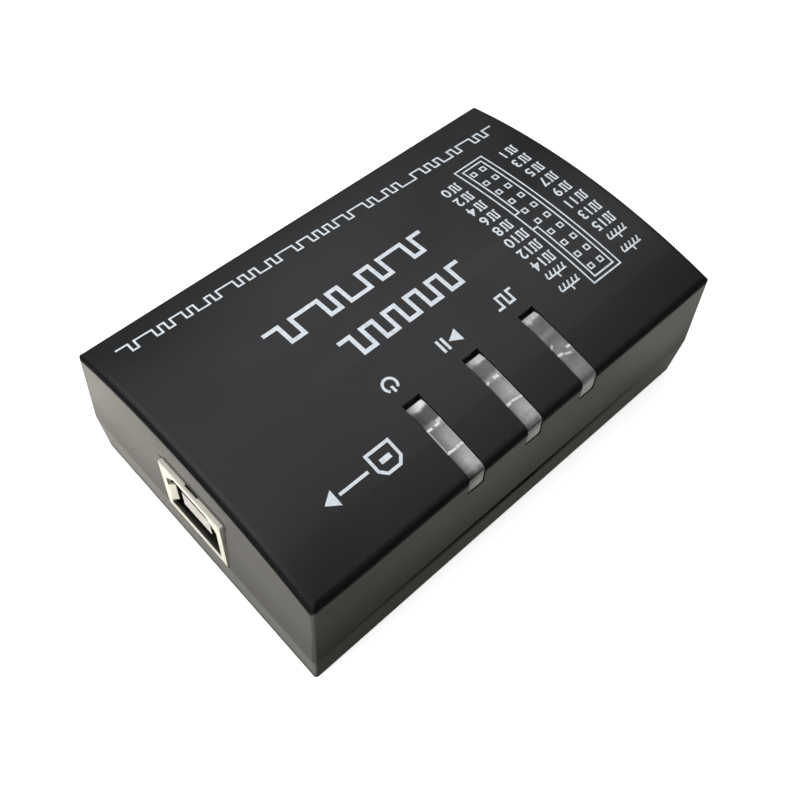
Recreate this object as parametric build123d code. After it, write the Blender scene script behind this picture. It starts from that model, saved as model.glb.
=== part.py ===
from build123d import *
from math import radians, sqrt, tan
import os

# A 16-channel USB logic analyzer in a two-part moulded case. Millimetres throughout.
# The origin is the centre of the underside. +X runs from the USB end to the probe header end,
# +Y points away from the light pipes, and +Z is up.

# ---------------------------------------------------------------- case
case_length = 71.9  # along X at the parting plane, where the case is largest
case_width = 46.1  # along Y at the parting plane
case_height = 25.0  # underside to the top of the crown
parting_height = 8.0  # underside to the plane where the shells meet
crown_rise = 2.65  # height of the arched roof above its two long edges
upper_draft = 2.2  # degrees the upper walls lean in
lower_draft = 3.3  # degrees the lower walls lean in
wall = 2.0
roof = 2.0
floor = 2.0
edge_radius = 1.05  # round on the roof's edges
corner_radius = 0.5  # round on the shells' upright corners
base_radius = 0.35  # round on the lower shell's bottom edges
seam_chamfer = 0.1  # on the lower shell's rim at the parting line
bow_height = 0.4  # the upper shell's rim lifts this far off the lower one's along each long side
bow_from_usb_end = 0.5  # the lift starts here, at the parting plane
bow_from_header_end = 9.5
bow_depth = 0.6
gate_radius = 0.3  # dimple of the lower shell's moulding gate, below the socket
gate_depth = 0.25
gate_below_parting = 1.2

lip_thickness = 0.9
lip_height = 1.5
lip_gap = 0.12  # between the lip and the rebate that takes it
window_gap = 0.25  # between a connector and its opening in the end wall
window_overcut = 0.45  # how far the gap above the socket runs past its corners

# ---------------------------------------------------------------- board
board_thickness = 1.6
board_above_parting = 0.3  # the board's top face over the parting plane
board_edge_gap = 0.45  # board to lip, all round
board_corner_radius = 1.0
board_rest_size = 3.0

# ---------------------------------------------------------------- case screws, posts and bosses
screw_core_radius = 1.1
screw_length = 11.5  # under the head
screw_head_radius = 2.1
screw_head_height = 1.5
screw_recess_width = 0.7
screw_recess_span = 2.4
screw_recess_depth = 0.8
screw_seat_height = 3.0  # underside of the case to the seat of the screw head
screw_well_radius = 2.5
screw_hole_radius = 1.45
screw_tip_room = 1.0
boss_radius = 3.6
post_radius = 2.9
post_rib = 1.2
post_rib_drop = 3.0  # how far below the roof edge the rib between post and wall reaches
post_from_end = 6.75
post_from_side = 6.25

# ---------------------------------------------------------------- light pipes and their LEDs
pipe_names = ("power", "run", "status")
pipe_middle = 0.31  # centre of the middle pipe from the case's centre plane
pipe_pitch = 10.16
pipe_width = 2.56
pipe_side_gap = 0.12
pipe_sink = 0.12  # how far the pipe lies below the case's outer faces
pipe_bend_radius = 0.95
pipe_inner_end = 11.25  # from the case's centre plane to the pipe's inner end
pipe_end_gap = 0.6
pipe_end_bevel = 1.0
pipe_end_drop = 0.45
pipe_foot_drop = 3.45  # roof edge down to the pipe's foot
pipe_corner_radius = 0.35  # at the foot's lower corners
pipe_flange_side = 0.7
pipe_flange_thickness = 0.8
stem_centre = 16.8  # from the case's centre plane
stem_length = 3.6
stem_width = 2.2
stem_to_led = 0.3
led_length = 2.0
led_width = 1.25
led_base = 0.3
led_dome = 0.5
led_dome_length = 1.2

# ---------------------------------------------------------------- USB type B receptacle
usb_width = 12.04
usb_height = 10.8
usb_depth = 16.2
usb_offset = -0.6  # from the case's centre plane
usb_proud = 0.1  # beyond the end wall at the parting plane
usb_sheet = 0.4
usb_face = 0.5  # thickness of the front face
usb_face_border = 1.0  # the front face's width round its opening
usb_face_bevel = 1.9  # at the opening's upper corners
usb_notch_width = 2.1  # cut in the top sheet, a little behind the front face
usb_notch_setback = 0.33
usb_notch_length = 1.6
usb_notch_slope = 0.45
usb_slit_length = 0.55  # relief slit under the top sheet at each front corner
usb_slit_height = 0.22
usb_flap_height = 4.0  # the side lips that turn inward from the front face
usb_flap_above_board = 2.0
usb_flap_depth = 2.1
usb_flap_lead = 0.7  # over this depth they lean in, then they run straight
usb_flap_lean = 0.6
usb_mouth_width = 8.45
usb_mouth_height = 7.78
usb_mouth_bevel = 1.7
usb_mouth_setback = 2.3
usb_socket_depth = 9.0
usb_body_depth = 12.3
usb_tongue_width = 5.6
usb_tongue_height = 3.2
usb_tongue_setback = 0.5
usb_tongue_drop = 0.4  # its middle, below the opening's
usb_contact_width = 0.7
usb_contact_thickness = 0.3
usb_contact_spacing = 2.5
usb_contact_tip = 2.2  # from the front face to the contact's tip
usb_tail_near = 13.1  # from the front face to the nearer row of tails
usb_tail_step = 2.0
usb_tab_at = 10.3
usb_tab_width = 1.6
usb_tab_hole_radius = 1.0
usb_contact_hole_radius = 0.46

# ---------------------------------------------------------------- probe header, two rows at right angles
header_columns = 10
header_pitch = 2.54
header_end_wall = 1.3
header_cavity_extra = 7.7  # cavity length beyond the outermost pin centres
header_cavity_height = 6.6
header_side_wall = 1.2
header_depth = 9.0
header_cavity_depth = 6.6
header_recess = 0.6  # mouth behind the end wall at the parting plane
header_key_width = 4.5
header_key_depth = 5.6
header_pin = 0.64
header_pin_recess = 0.9
header_tail_behind = 1.6
header_hole_radius = 0.5
tail_below_board = 1.4

# ---------------------------------------------------------------- packages on the board
lead_reach = 1.0  # chip body's side to the lead's tip
lead_foot = 0.5
lead_thickness = 0.15
lead_root = 0.1  # how far a lead starts inside the chip's body
chip_stand = 0.1
controller_length = 18.4
controller_width = 7.5
controller_height = 2.3
controller_pitch = 0.635
controller_lead_count = 28  # along each long side
logic_side = 14.0
logic_height = 1.4
logic_pitch = 0.5
logic_lead_count = 25  # along each of the four sides
memory_length = 4.9
memory_width = 3.9
memory_height = 1.5
memory_pitch = 1.27
memory_lead_count = 4
array_length = 2.9
array_width = 1.6
array_height = 1.1
array_pitch = 0.95
array_lead_count = 3
network_length = 3.2
network_width = 1.6
network_height = 0.55
network_pitch = 0.8
network_terminal = 0.45
network_terminal_reach = 0.15
crystal_length = 11.4
crystal_width = 4.8
crystal_height = 3.5
crystal_flange = 0.6  # how far the flange stands out from the can
crystal_flange_thickness = 0.5
crystal_round = 0.5
regulator_length = 6.5
regulator_width = 3.5
regulator_height = 1.7
regulator_tab_width = 3.0
regulator_lead_width = 0.7
regulator_lead_pitch = 2.3
regulator_lead_reach = 1.55
regulator_lead_thickness = 0.3
fuse_length = 3.2
fuse_width = 1.6
fuse_height = 0.7
fuse_terminal = 0.5
bulk_length = 3.5
bulk_width = 2.8
bulk_height = 1.9
bulk_corner = 0.2
ceramic_length = 1.6
ceramic_width = 0.8
ceramic_height = 0.8
ceramic_terminal = 0.35
terminal_raise = 0.03

# ---------------------------------------------------------------- places on the board
controller_y = 3.0
logic_y = 0.5
network_behind_tails = 4.2
network_spacing = 4.2
array_spacing = 4.0
array_from_post = 6.6  # middle of the pairs, from the rear posts toward the USB end
array_y = 11.4
regulator_from_post = 7.0
regulator_y = -12.6
bulk_from_post = 6.7
bulk_y = 9.4  # middle of the pair
bulk_spacing = 3.0
crystal_from_controller = -4.2
crystal_y = 15.2
fuse_from_controller = -4.6
fuse_y = -8.6
memory_from_controller = -0.7
memory_y = -10.8
ceramic_spacing = 2.6
ceramic_shift = 4.2  # middle of the capacitor rows, from the logic chip toward the USB end
ceramic_rows = (-10.2, 11.0, 14.0)

overrun = 1.0  # how far a cutting body runs past the face it cuts

# ---------------------------------------------------------------- derived places
edge_height = case_height - crown_rise
edge_width = case_width - 2 * (edge_height - parting_height) * tan(radians(upper_draft))
crown_radius = (edge_width**2 / 4 + crown_rise**2) / (2 * crown_rise)
board_top = parting_height + board_above_parting
board_bottom = board_top - board_thickness
board_length = case_length - 2 * (wall + board_edge_gap)
board_width = case_width - 2 * (wall + board_edge_gap)
tail_end = board_bottom - tail_below_board

usb_front = -(case_length / 2 + usb_proud)
usb_middle = board_top + usb_height / 2
usb_tongue_middle = usb_middle - usb_tongue_drop

header_length = header_pitch * (header_columns - 1) + header_cavity_extra + 2 * header_end_wall
header_height = header_cavity_height + 2 * header_side_wall
header_front = case_length / 2 - header_recess
header_back = header_front - header_depth
header_middle = board_top + header_height / 2
header_tail_near = header_back - header_tail_behind
header_tail_far = header_tail_near - header_pitch

pipe_places = [pipe_middle + i * pipe_pitch for i in (-1, 0, 1)]
post_side = case_width / 2 - post_from_side
# the rear posts stand midway between the last light pipe and the probe header
post_ends = (post_from_end - case_length / 2, (pipe_places[-1] + header_back) / 2)
post_places = [(x, y) for x in post_ends for y in (-post_side, post_side)]


def box_between(low, high):
    """A box given by its lowest and highest corners."""
    size = [b - a for a, b in zip(low, high)]
    centre = [(a + b) / 2 for a, b in zip(low, high)]
    return Pos(*centre) * Box(*size)


def rod(x, y, bottom, top, radius):
    """An upright cylinder between two heights."""
    return Pos(x, y, (bottom + top) / 2) * Cylinder(radius, top - bottom)


def side_profile(points, y, width, rounded=None, radius=0.0):
    """A flat outline in X and Z, as thick as width about the given Y, with one corner rounded."""
    outline = make_face(Polyline(*points, close=True))
    if rounded is not None:
        outline = fillet(outline.vertices().sort_by_distance((*rounded, 0))[0], radius)
    return Pos(0, y, 0) * extrude(Plane.XZ * outline, amount=width / 2, both=True)


# ---------------------------------------------------------------- case forms
def upper_walls(side_inset):
    """The drafted block that the upper walls bound, higher than the roof."""
    outline = Rectangle(case_length - 2 * side_inset, case_width - 2 * side_inset)
    block = extrude(outline, amount=case_height - parting_height + overrun, taper=upper_draft)
    return Pos(0, 0, parting_height) * block


def upper_form(side_inset, roof_inset):
    """The case above the parting plane, moved in from its outer faces: drafted walls, arched roof."""
    arch = Rot(0, 90, 0) * Cylinder(crown_radius - roof_inset, case_length)
    return upper_walls(side_inset) & (Pos(0, 0, case_height - crown_radius) * arch)


def lower_form(side_inset, floor_inset):
    """The case below the parting plane, moved in from its outer faces."""
    outline = Rectangle(case_length - 2 * side_inset, case_width - 2 * side_inset)
    block = extrude(outline, amount=parting_height - floor_inset, taper=lower_draft)
    return Pos(0, 0, parting_height) * mirror(block, about=Plane.XY)


def corner_edges(form):
    """The edges that climb along the corners of a case form."""
    return [e for e in form.edges() if abs((e @ 1).Z - (e @ 0).Z) > 0.9 * e.length]


def far_edges(form):
    """The edges around the face that lies opposite the parting plane."""
    corners = corner_edges(form)
    return [e for e in form.edges() if e not in corners and abs((e @ 0.5).Z - parting_height) > edge_radius]


def connector_window(half_width, middle, top, outward):
    """The volume that a connector's opening takes out of an end wall, open at the parting plane."""
    inner = case_length / 2 - wall - lip_thickness - overrun
    outer = case_length / 2 + overrun
    ends = sorted((outward * inner, outward * outer))
    return box_between(
        (ends[0], middle - half_width - window_gap, parting_height - overrun),
        (ends[1], middle + half_width + window_gap, top + window_gap),
    )


def usb_window():
    """The socket's opening, whose gap above the socket runs a little past both corners."""
    top = board_top + usb_height
    window = connector_window(usb_width / 2, usb_offset, top, -1)
    bounds = window.bounding_box()
    return window + box_between(
        (bounds.min.X, bounds.min.Y - window_overcut, top),
        (bounds.max.X, bounds.max.Y + window_overcut, top + window_gap),
    )


def header_window():
    return connector_window(header_length / 2, 0, board_top + header_height, 1)


# ---------------------------------------------------------------- shells
def screw_post(x, y):
    """A post from the roof down to the board, tied to the side wall by a rib."""
    toward_wall = case_width / 2 if y > 0 else -case_width / 2
    rib = box_between(
        (x - post_rib / 2, min(y, toward_wall), edge_height - wall - post_rib_drop),
        (x + post_rib / 2, max(y, toward_wall), case_height),
    )
    body = rod(x, y, board_top, case_height, post_radius) + rib
    tip = screw_seat_height + screw_length
    pilot = rod(x, y, board_top - overrun, tip + screw_tip_room, screw_core_radius)
    return (body & upper_form(wall / 2, roof / 2)) - pilot


def rim_bow(side):
    """The shallow arch that lifts the upper shell's rim along one long side and leaves a shadow gap."""
    start = bow_from_usb_end - case_length / 2
    end = case_length / 2 - bow_from_header_end
    crest = ThreePointArc((start, 0), ((start + end) / 2, bow_height), (end, 0))
    below = Polyline((start, 0), (start, -overrun), (end, -overrun), (end, 0))
    arch = extrude(Plane.XZ * make_face([crest, below]), amount=bow_depth, both=True)
    return Pos(0, side * case_width / 2, parting_height) * arch


def make_upper_shell():
    form = upper_form(0, 0)
    form = fillet(far_edges(form), edge_radius)
    walls = upper_walls(0)
    form &= fillet(corner_edges(walls), corner_radius)
    shell = form - upper_form(wall, roof)
    rebate = wall - lip_thickness - lip_gap
    shell -= box_between(
        (rebate - case_length / 2, rebate - case_width / 2, parting_height - overrun),
        (case_length / 2 - rebate, case_width / 2 - rebate, parting_height + lip_height + lip_gap),
    )
    for side in (-1, 1):
        shell -= rim_bow(side)
    for x, y in post_places:
        shell += screw_post(x, y)
    shell -= usb_window()
    shell -= header_window()
    for x in pipe_places:
        shell -= pipe_slot(x)
    return shell


def make_lower_shell():
    form = lower_form(0, 0)
    form = fillet(corner_edges(form), corner_radius)
    form = fillet(far_edges(form), base_radius)
    rim = form.faces().filter_by(Axis.Z).sort_by_distance((0, 0, parting_height))[0]
    shell = chamfer(rim.edges(), seam_chamfer) - lower_form(wall, floor)
    outside = wall - lip_thickness
    lip = box_between(
        (outside - case_length / 2, outside - case_width / 2, parting_height - lip_height),
        (case_length / 2 - outside, case_width / 2 - outside, parting_height + lip_height),
    )
    lip -= box_between(
        (wall - case_length / 2, wall - case_width / 2, parting_height - lip_height - overrun),
        (case_length / 2 - wall, case_width / 2 - wall, parting_height + lip_height + overrun),
    )
    lip -= usb_window()
    lip -= header_window()
    shell += lip & box_between(
        (-case_length, -case_width, parting_height - wall / 2),
        (case_length, case_width, case_height),
    )
    held = lower_form(wall / 2, floor / 2)
    for x, y in post_places:
        shell += rod(x, y, floor / 2, board_bottom, boss_radius)
    for x in (-board_length / 2, board_length / 2):
        for y in (-board_width / 2, board_width / 2):
            rest = Pos(x, y, board_bottom / 2) * Box(2 * board_rest_size, 2 * board_rest_size, board_bottom)
            shell += rest & held
    for x, y in post_places:
        shell -= rod(x, y, -overrun, screw_seat_height, screw_well_radius)
        shell -= rod(x, y, 0, board_bottom + overrun, screw_hole_radius)
    gate = Pos(-case_length / 2, usb_offset, parting_height - gate_below_parting) * Rot(0, 90, 0)
    return shell - gate * Cylinder(gate_radius, 2 * gate_depth)


def make_case_screws():
    """Pan-head screws that pass the lower shell's bosses and the board into the upper shell's posts."""
    bottom = screw_seat_height - screw_head_height
    screws = []
    for x, y in post_places:
        head = rod(x, y, bottom, screw_seat_height, screw_head_radius)
        head = fillet(head.edges().sort_by(Axis.Z)[0], screw_head_height / 3)
        for span in ((screw_recess_span, screw_recess_width), (screw_recess_width, screw_recess_span)):
            head -= Pos(x, y, bottom) * Box(*span, 2 * screw_recess_depth)
        shank = rod(x, y, screw_seat_height, screw_seat_height + screw_length, screw_core_radius)
        shank = chamfer(shank.edges().sort_by(Axis.Z)[-1], screw_core_radius / 2)
        screws.append(head + shank)
    return screws


# ---------------------------------------------------------------- light pipes
def pipe_slot(x):
    """The opening over the roof's edge and down the side wall that one light pipe fills."""
    half = pipe_width / 2 + pipe_side_gap
    return box_between(
        (x - half, -case_width, edge_height - pipe_foot_drop - pipe_side_gap),
        (x + half, pipe_end_gap - pipe_inner_end, case_height + overrun),
    )


def make_light_pipe(x):
    """A clear moulding: the bent strip in the slot, a flange behind the wall and a stem to the LED."""
    sunk = upper_form(pipe_sink, pipe_sink)
    bend = sunk.edges().filter_by(Axis.X).sort_by(Axis.Y)
    bend = [e for e in bend if (e @ 0.5).Z > parting_height + 1 and (e @ 0.5).Y < 0]
    sunk = fillet(bend, pipe_bend_radius)
    behind = upper_form(wall, roof)
    reach = box_between(
        (x - pipe_width / 2, -case_width, edge_height - pipe_foot_drop),
        (x + pipe_width / 2, -pipe_inner_end, case_height),
    )
    foot = reach.edges().filter_by(Axis.Y).group_by(Axis.Z)[0]
    strip = (sunk - behind) & fillet(foot, pipe_corner_radius)
    end_top = case_height - crown_radius + sqrt((crown_radius - pipe_sink) ** 2 - pipe_inner_end**2)
    bevel = Plane.YZ.offset(x) * make_face(
        Polyline(
            (-pipe_inner_end - pipe_end_bevel, end_top + overrun),
            (-pipe_inner_end - pipe_end_bevel, end_top - pipe_end_drop / 3),
            (-pipe_inner_end + overrun, end_top - pipe_end_drop),
            (-pipe_inner_end + overrun, end_top + overrun),
            close=True,
        )
    )
    strip -= extrude(bevel, amount=pipe_width, both=True)
    flange = (behind - upper_form(wall + pipe_flange_thickness, roof + pipe_flange_thickness)) & box_between(
        (x - pipe_width / 2 - pipe_flange_side, -case_width, edge_height - pipe_foot_drop - pipe_flange_side),
        (x + pipe_width / 2 + pipe_flange_side, pipe_flange_side - pipe_inner_end, case_height),
    )
    stem = behind & box_between(
        (x - stem_width / 2, -stem_centre - stem_length / 2, board_top + led_base + led_dome + stem_to_led),
        (x + stem_width / 2, -stem_centre + stem_length / 2, case_height),
    )
    return strip + flange + stem


def make_led(x):
    """A chip LED: a flat substrate with a clear block on it."""
    base = box_between(
        (x - led_length / 2, -stem_centre - led_width / 2, board_top),
        (x + led_length / 2, -stem_centre + led_width / 2, board_top + led_base),
    )
    dome = box_between(
        (x - led_dome_length / 2, -stem_centre - led_width / 2, board_top + led_base),
        (x + led_dome_length / 2, -stem_centre + led_width / 2, board_top + led_base + led_dome),
    )
    return base + dome


# ---------------------------------------------------------------- connectors
def bent_pin(tip, tail, y, level, width, thickness):
    """A pin that runs level from its tip to above its tail, then turns down through the board."""
    side = thickness / 2 if tail > tip else -thickness / 2
    outer = (tail + side, level + thickness / 2)
    points = (
        (tip, level + thickness / 2),
        outer,
        (tail + side, tail_end),
        (tail - side, tail_end),
        (tail - side, level - thickness / 2),
        (tip, level - thickness / 2),
    )
    return side_profile(points, y, width, outer, thickness * 0.8)


def usb_contact_specs():
    """Tip, tail, Y and level of each of the four contacts, two above the tongue and two below it."""
    reach = usb_tongue_height / 2 - usb_contact_thickness / 2
    for row, level in enumerate((usb_tongue_middle - reach, usb_tongue_middle + reach)):
        tail = usb_front + usb_tail_near + row * usb_tail_step
        for side in (-1, 1):
            yield usb_front + usb_contact_tip, tail, usb_offset + side * usb_contact_spacing / 2, level


def make_usb_contacts():
    return [bent_pin(*spec, usb_contact_width, usb_contact_thickness) for spec in usb_contact_specs()]


def bevelled_opening(front, depth, width, height, bevel):
    """The D-shaped opening of a type B socket, as a solid that starts at front and runs inward."""
    half = width / 2
    top = height / 2
    outline = Polyline(
        (-half, -top),
        (half, -top),
        (half, top - bevel),
        (half - bevel, top),
        (bevel - half, top),
        (-half, top - bevel),
        close=True,
    )
    return Pos(front, usb_offset, usb_middle) * extrude(Plane.YZ * make_face(outline), amount=depth)


def make_usb_shell():
    """The folded metal shell: front face, side lips, the notch in its top sheet and two board tabs."""
    half = usb_width / 2
    top = board_top + usb_height
    low = (usb_front, usb_offset - half, board_top)
    high = (usb_front + usb_depth, usb_offset + half, top)
    shell = box_between(low, high)
    shell -= box_between(
        (usb_front + usb_face, usb_offset - half + usb_sheet, board_top + usb_sheet),
        (usb_front + usb_depth + overrun, usb_offset + half - usb_sheet, top - usb_sheet),
    )
    opening = (usb_width - 2 * usb_face_border, usb_height - 2 * usb_face_border)
    shell -= bevelled_opening(usb_front - overrun, usb_face + 2 * overrun, *opening, usb_face_bevel)
    shell -= usb_notch()
    for side in (-1, 1):
        slit = Pos(usb_front, usb_offset + side * half, top - usb_sheet - usb_slit_height / 2)
        shell -= slit * Box(2 * usb_slit_length, 2 * usb_slit_length, usb_slit_height)
        shell += side_lip(side)
        shell += tab_solid(side)
    # the rear of the shell's floor is open, where the contacts turn down
    shell -= box_between(
        (usb_front + usb_body_depth, usb_offset - half + usb_sheet, board_top - overrun),
        (usb_front + usb_depth + overrun, usb_offset + half - usb_sheet, board_top + 2 * usb_sheet),
    )
    return shell


def usb_notch():
    """The notch through the shell's top sheet, wider toward the back."""
    front = usb_front + usb_notch_setback
    narrow = usb_notch_width / 2
    wide = narrow + usb_notch_slope
    outline = Polyline(
        (front, -narrow),
        (front + usb_notch_slope, -wide),
        (front + usb_notch_length, -wide),
        (front + usb_notch_length, wide),
        (front + usb_notch_slope, wide),
        (front, narrow),
        close=True,
    )
    cut = extrude(make_face(outline), amount=usb_sheet, both=True)
    return Pos(0, usb_offset, board_top + usb_height) * cut


def side_lip(side):
    """A lip on one side of the opening in the front face: it leans inward, then runs straight."""
    edge = usb_width / 2 - usb_face_border
    inner = edge - usb_flap_lean
    outline = Polyline(
        (0, side * edge),
        (usb_flap_lead, side * inner),
        (usb_flap_depth, side * inner),
        (usb_flap_depth, side * (inner + usb_sheet)),
        (usb_flap_lead, side * (inner + usb_sheet)),
        (0, side * (edge + usb_sheet)),
        close=True,
    )
    lip = extrude(make_face(outline), amount=usb_flap_height)
    return Pos(usb_front, usb_offset, board_top + usb_flap_above_board) * lip


def tab_solid(side):
    """One of the shell's tabs, which pass through the board beside the socket."""
    outer = usb_offset + side * usb_width / 2
    inner = outer - side * usb_sheet
    return box_between(
        (usb_front + usb_tab_at - usb_tab_width / 2, min(outer, inner), tail_end),
        (usb_front + usb_tab_at + usb_tab_width / 2, max(outer, inner), board_top + usb_height / 2),
    )


def make_usb_insulator():
    """The moulded body inside the shell, with the socket, its tongue and channels for the contacts."""
    half = usb_width / 2 - usb_sheet
    body = box_between(
        (usb_front + usb_mouth_setback, usb_offset - half, board_top + usb_sheet),
        (usb_front + usb_body_depth, usb_offset + half, board_top + usb_height - usb_sheet),
    )
    body -= bevelled_opening(usb_front, usb_socket_depth, usb_mouth_width, usb_mouth_height, usb_mouth_bevel)
    body += box_between(
        (
            usb_front + usb_tongue_setback,
            usb_offset - usb_tongue_width / 2,
            usb_tongue_middle - usb_tongue_height / 2,
        ),
        (
            usb_front + usb_body_depth,
            usb_offset + usb_tongue_width / 2,
            usb_tongue_middle + usb_tongue_height / 2,
        ),
    )
    for contact in make_usb_contacts():
        body -= contact
    return body


def header_pin_specs():
    """Tip, tail, Y and level of each header pin, both rows."""
    for row, level in enumerate((header_middle - header_pitch / 2, header_middle + header_pitch / 2)):
        tail = header_tail_near - row * header_pitch
        for column in range(header_columns):
            y = (column - (header_columns - 1) / 2) * header_pitch
            yield header_front - header_pin_recess, tail, y, level


def make_header_pins():
    return [bent_pin(*spec, header_pin, header_pin) for spec in header_pin_specs()]


def make_header_shroud():
    """The boxed header's moulding: an open mouth with the key slot in its upper wall."""
    half = header_length / 2
    top = board_top + header_height
    shroud = box_between((header_back, -half, board_top), (header_front, half, top))
    shroud = chamfer(shroud.faces().sort_by(Axis.X)[-1].edges(), header_end_wall / 4)
    shroud -= box_between(
        (header_front - header_cavity_depth, header_end_wall - half, board_top + header_side_wall),
        (header_front + overrun, half - header_end_wall, top - header_side_wall),
    )
    shroud -= box_between(
        (header_front - header_key_depth, -header_key_width / 2, header_middle),
        (header_front + overrun, header_key_width / 2, top + overrun),
    )
    for pin in make_header_pins():
        shroud -= pin
    return shroud


# ---------------------------------------------------------------- board and components
def make_board():
    outline = RectangleRounded(board_length, board_width, board_corner_radius)
    board = extrude(Pos(0, 0, board_bottom) * outline, amount=board_thickness)
    holes = [(x, y, screw_hole_radius) for x, y in post_places]
    holes += [(tail, y, header_hole_radius) for tip, tail, y, level in header_pin_specs()]
    tails = {(tail, y) for tip, tail, y, level in usb_contact_specs()}
    holes += [(x, y, usb_contact_hole_radius) for x, y in sorted(tails)]
    tab_side = usb_width / 2 - usb_sheet / 2
    holes += [(usb_front + usb_tab_at, usb_offset + s * tab_side, usb_tab_hole_radius) for s in (-1, 1)]
    for x, y, radius in holes:
        board -= rod(x, y, board_bottom - overrun, board_top + overrun, radius)
    return board


def gull_wing_chip(length, width, height, pitch, per_long, per_short=0):
    """A moulded chip about its own centre, standing on bent leads along its sides."""
    shoulder = chip_stand + height * 0.45
    body = Pos(0, 0, chip_stand + height / 2) * Box(length, width, height)
    body = chamfer(body.faces().sort_by(Axis.Z)[-1].edges(), height * 0.12)
    profile = Polyline(
        (-lead_root, shoulder),
        (-lead_root, shoulder + lead_thickness),
        (lead_reach - lead_foot, shoulder + lead_thickness),
        (lead_reach - lead_foot + lead_thickness, lead_thickness),
        (lead_reach, lead_thickness),
        (lead_reach, 0),
        (lead_reach - lead_foot, 0),
        (lead_reach - lead_foot - lead_thickness, shoulder),
        close=True,
    )
    lead = extrude(Plane.XZ * make_face(profile), amount=pitch * 0.2, both=True)
    leads = []
    for count, reach, turn in ((per_long, width / 2, 90), (per_short, length / 2, 0)):
        for i in range(count):
            along = (i - (count - 1) / 2) * pitch
            for half_turn in (0, 180):
                leads.append(Rot(0, 0, turn + half_turn) * Pos(reach, along, 0) * lead)
    return body + leads


def standing_block(length, width, height, x=0.0, y=0.0):
    """A block that stands on the board, about its own centre or moved from it."""
    return Pos(x, y, height / 2) * Box(length, width, height)


def bulk_capacitor():
    block = standing_block(bulk_length, bulk_width, bulk_height)
    return chamfer(block.edges().filter_by(Axis.Z), bulk_corner)


def terminated_part(length, width, height, terminal):
    """A chip resistor or capacitor: the body with slightly raised metal ends."""
    body = standing_block(length - 2 * terminal, width - 2 * terminal_raise, height - 2 * terminal_raise)
    for side in (-1, 1):
        body += standing_block(terminal, width, height, side * (length - terminal) / 2)
    return body


def ceramic_capacitor():
    return terminated_part(ceramic_length, ceramic_width, ceramic_height, ceramic_terminal)


def resistor_network():
    """Four resistors in one block, with terminals that stand out along both sides."""
    body = standing_block(network_length, network_width, network_height)
    for i in range(4):
        for side in (-1, 1):
            at = ((i - 1.5) * network_pitch, side * network_width / 2)
            body += standing_block(network_terminal, 2 * network_terminal_reach, network_height, *at)
    return body


def crystal_can():
    """A low-profile metal can crystal on its flange."""
    flange = extrude(SlotOverall(crystal_length, crystal_width), amount=crystal_flange_thickness)
    outline = SlotOverall(crystal_length - 2 * crystal_flange, crystal_width - 2 * crystal_flange)
    can = extrude(outline, amount=crystal_height)
    return flange + fillet(can.faces().sort_by(Axis.Z)[-1].edges(), crystal_round)


def regulator():
    """A power regulator with three leads on one side and its tab on the other."""
    block = standing_block(regulator_length, regulator_width, regulator_height - chip_stand)
    body = Pos(0, 0, chip_stand) * chamfer(block.faces().sort_by(Axis.Z)[-1].edges(), regulator_height / 8)
    reach = (regulator_width + regulator_lead_reach) / 2
    leads = [(regulator_tab_width, 0, reach)]
    leads += [(regulator_lead_width, i * regulator_lead_pitch, -reach) for i in (-1, 0, 1)]
    for width, x, y in leads:
        body += standing_block(width, regulator_lead_reach, regulator_lead_thickness, x, y)
    return body


def on_board(part, places, turn=0):
    """Copies of a component on the board's top face."""
    return [Pos(x, y, board_top) * Rot(0, 0, turn) * part for x, y in places]


def row(count, spacing, middle=0.0):
    """Evenly spaced places about a middle."""
    return [middle + (i - (count - 1) / 2) * spacing for i in range(count)]


def make_components():
    """The two large chips share the room between the socket and the input networks in equal gaps."""
    network_x = header_tail_far - network_behind_tails
    controller_half = controller_width / 2 + lead_reach
    logic_half = logic_side / 2 + lead_reach
    room_start = usb_front + usb_depth
    room_end = network_x - network_width / 2 - network_terminal_reach
    gap = (room_end - room_start - 2 * controller_half - 2 * logic_half) / 3
    controller_x = room_start + gap + controller_half
    logic_x = room_end - gap - logic_half

    controller = gull_wing_chip(
        controller_length, controller_width, controller_height, controller_pitch, controller_lead_count
    )
    sides = (logic_side, logic_side)
    logic = gull_wing_chip(*sides, logic_height, logic_pitch, logic_lead_count, logic_lead_count)
    memory = gull_wing_chip(memory_length, memory_width, memory_height, memory_pitch, memory_lead_count)
    fuse = terminated_part(fuse_length, fuse_width, fuse_height, fuse_terminal)
    array = gull_wing_chip(array_length, array_width, array_height, array_pitch, array_lead_count)

    regulator_x = post_ends[0] + regulator_from_post
    bulk_x = post_ends[0] + bulk_from_post
    ceramic_columns = row(4, ceramic_spacing, logic_x - ceramic_shift)
    array_columns = row(2, array_spacing, post_ends[1] - array_from_post)
    beside_controller = controller_x + controller_half + gap / 2
    return {
        "usb_controller_chip": on_board(controller, [(controller_x, controller_y)], 90),
        "logic_chip": on_board(logic, [(logic_x, logic_y)]),
        "configuration_memory": on_board(memory, [(controller_x + memory_from_controller, memory_y)]),
        "crystal": on_board(crystal_can(), [(controller_x + crystal_from_controller, crystal_y)]),
        "voltage_regulator": on_board(regulator(), [(regulator_x, regulator_y)]),
        "resettable_fuse": on_board(fuse, [(controller_x + fuse_from_controller, fuse_y)], 90),
        "bulk_capacitors": on_board(bulk_capacitor(), [(bulk_x, y) for y in row(2, bulk_spacing, bulk_y)]),
        "input_resistor_networks": on_board(
            resistor_network(), [(network_x, y) for y in row(4, network_spacing)], 90
        ),
        "input_protection_arrays": on_board(
            array, [(x, y) for x in array_columns for y in (-array_y, array_y)]
        ),
        "ceramic_capacitors": on_board(
            ceramic_capacitor(), [(x, y) for x in ceramic_columns for y in ceramic_rows]
        )
        + on_board(
            ceramic_capacitor(),
            [(beside_controller, y) for y in row(4, ceramic_spacing, logic_y)],
            90,
        ),
    }


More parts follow.
